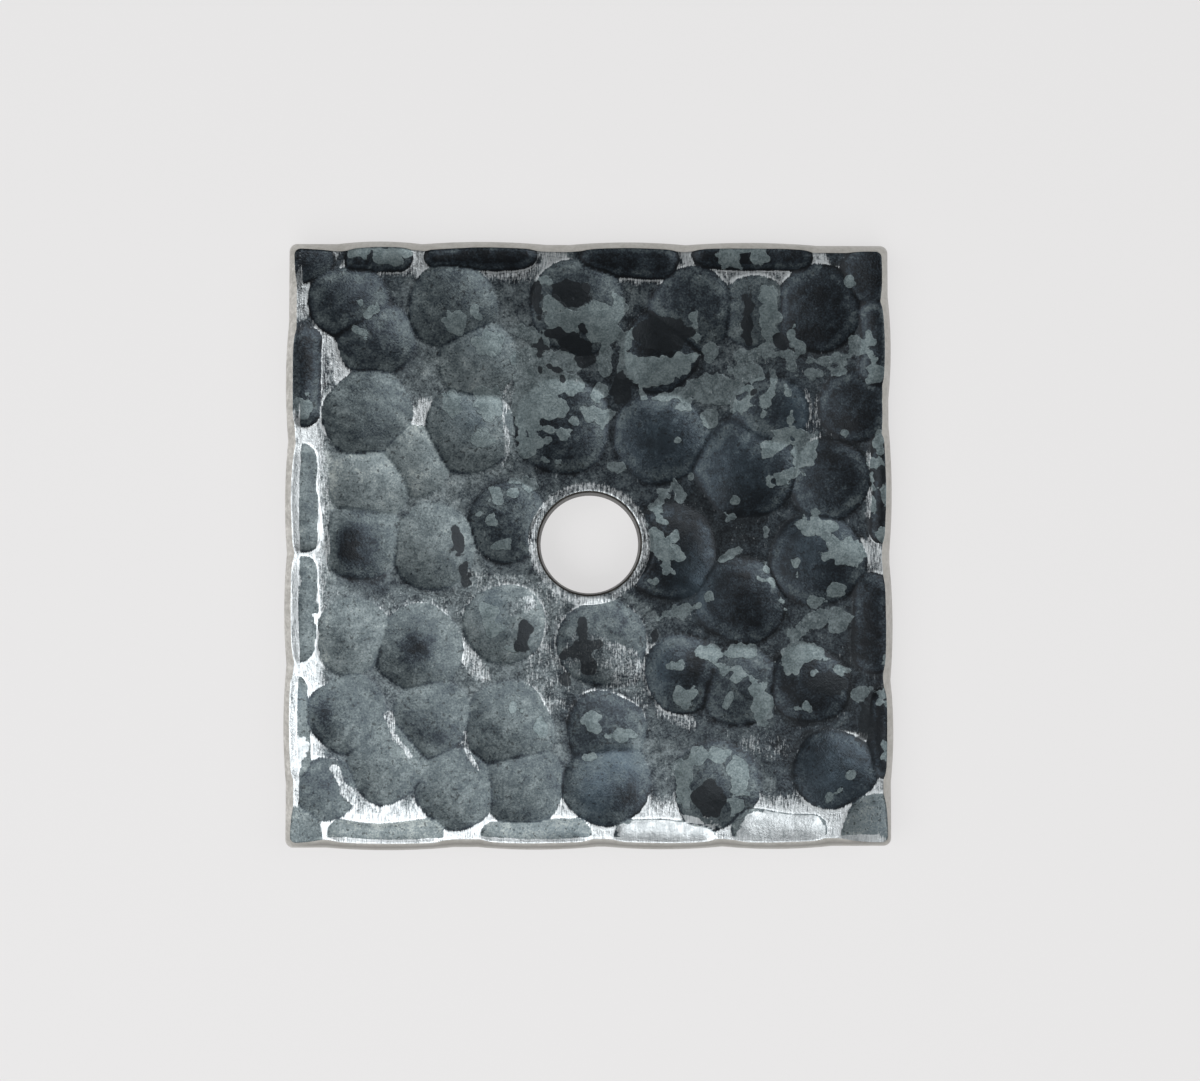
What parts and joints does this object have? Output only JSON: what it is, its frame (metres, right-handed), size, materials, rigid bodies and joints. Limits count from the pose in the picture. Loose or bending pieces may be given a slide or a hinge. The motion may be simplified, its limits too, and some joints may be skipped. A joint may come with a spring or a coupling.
{
  "type": "square plate washer",
  "caption": "Square steel plate washer with a hammered face, bulged sides and one round bolt hole that spreads a bolt's load over wood or masonry.",
  "frame": {"origin": "middle of the bolt hole on the flat underside", "axes": "+Z along the hole towards the hammered face, +X to the right and +Y up in the picture"},
  "size_m": [0.077, 0.077, 0.0063],
  "materials": {
    "scaled_steel": "forged, dark mill scale with bare wire-brushed lands"
  },
  "bodies": {
    "root": {"plate": "scaled_steel"}
  },
  "joints": []
}
